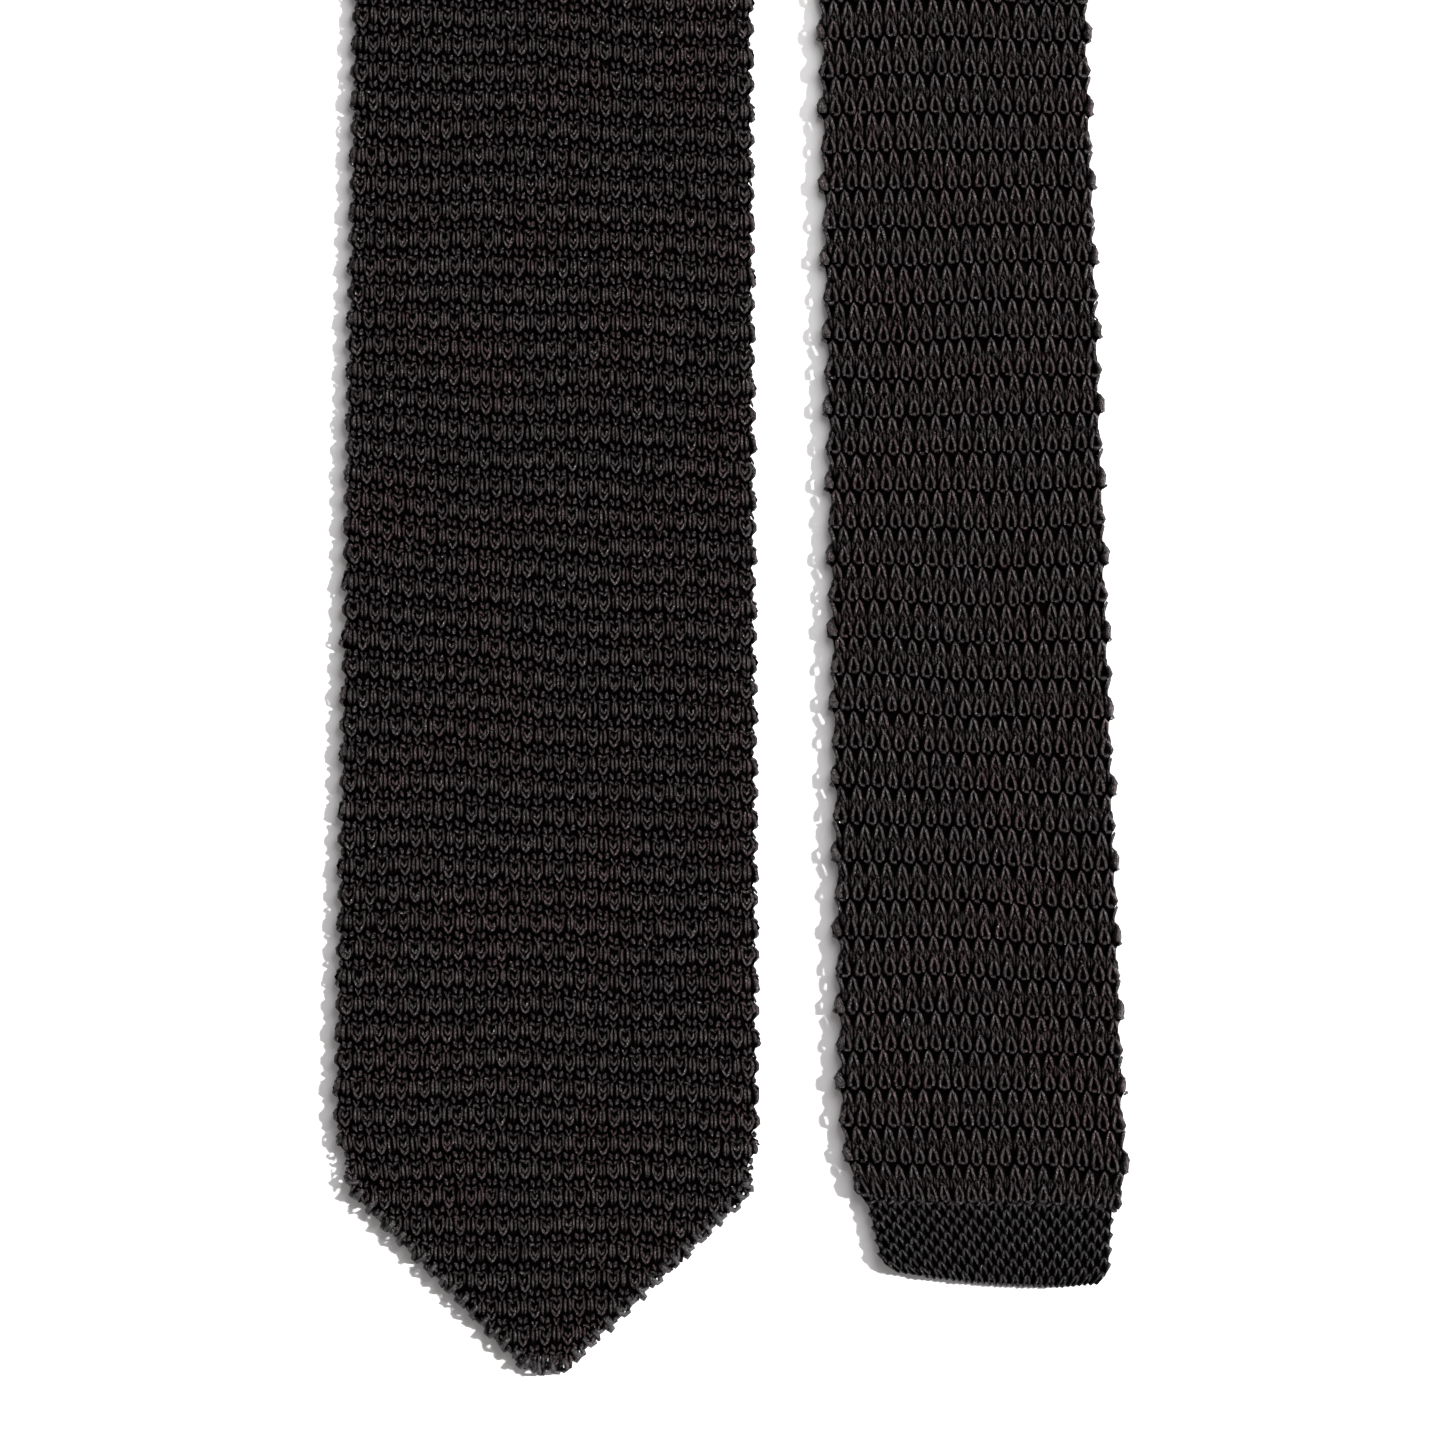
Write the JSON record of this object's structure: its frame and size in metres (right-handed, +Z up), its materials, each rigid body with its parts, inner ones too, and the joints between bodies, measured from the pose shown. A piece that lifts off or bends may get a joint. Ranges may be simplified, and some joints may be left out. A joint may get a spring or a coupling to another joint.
{
  "type": "knitted necktie",
  "caption": "Knitted necktie with a pointed front blade, a fine-knit neckband and a square tail with a ribbed cuff, folded in two at the neck and laid flat.",
  "frame": {"origin": "centre of the laid tie's footprint, on the surface that it lies on", "axes": "+Y from the two free ends towards the neck fold, +X from the front blade towards the tail, +Z up out of the surface, through the tie's face"},
  "size_m": [0.1208, 0.727, 0.0037],
  "materials": {
    "blade_knit": "coarse silk-like knit, soft sheen",
    "tail_knit": "the same knit, stretched longer",
    "neckband_knit": "fine knit, matt",
    "cuff_knit": "fine knit, matt",
    "seam_thread": "linking yarn, soft sheen",
    "keeper_tape": "woven tape, satin"
  },
  "bodies": {
    "blade_upper": {"blade_upper_tube": "blade_knit", "blade_neck_seam": "seam_thread", "neckband_blade_side": "neckband_knit"},
    "blade_lower": {"blade_lower_tube": "blade_knit", "tip_seam": "seam_thread", "keeper_loop": "keeper_tape", "keeper_stitches": "seam_thread"},
    "neck_bridge": {"neckband_bridge": "neckband_knit"},
    "tail_upper": {"neckband_tail_side": "neckband_knit", "neck_tail_seam": "seam_thread", "tail_upper_tube": "tail_knit"},
    "tail_lower": {"tail_lower_tube": "tail_knit", "tail_cuff": "cuff_knit", "cuff_seam": "seam_thread", "cuff_bind_off": "cuff_knit"}
  },
  "joints": [
    {"name": "blade_fold", "type": "hinge", "parent": "blade_upper", "child": "blade_lower", "pos_m": [-0.02615, -0.02347, 0.00295], "axis": [-1, 0.0059, 0], "range_deg": [0, 180]},
    {"name": "left_neck_fold", "type": "hinge", "parent": "blade_upper", "child": "neck_bridge", "pos_m": [-0.02396, 0.34548, 0.00185], "axis": [-0.7092, -0.705, 0], "range_deg": [0, 180]},
    {"name": "right_neck_fold", "type": "hinge", "parent": "neck_bridge", "child": "tail_upper", "pos_m": [0.0209, 0.34548, 0.00185], "axis": [0.7162, -0.6979, 0], "range_deg": [0, 180]},
    {"name": "tail_fold", "type": "hinge", "parent": "tail_upper", "child": "tail_lower", "pos_m": [0.03051, -0.02647, 0.0044], "axis": [-0.9997, -0.0258, 0], "range_deg": [0, 180]}
  ]
}
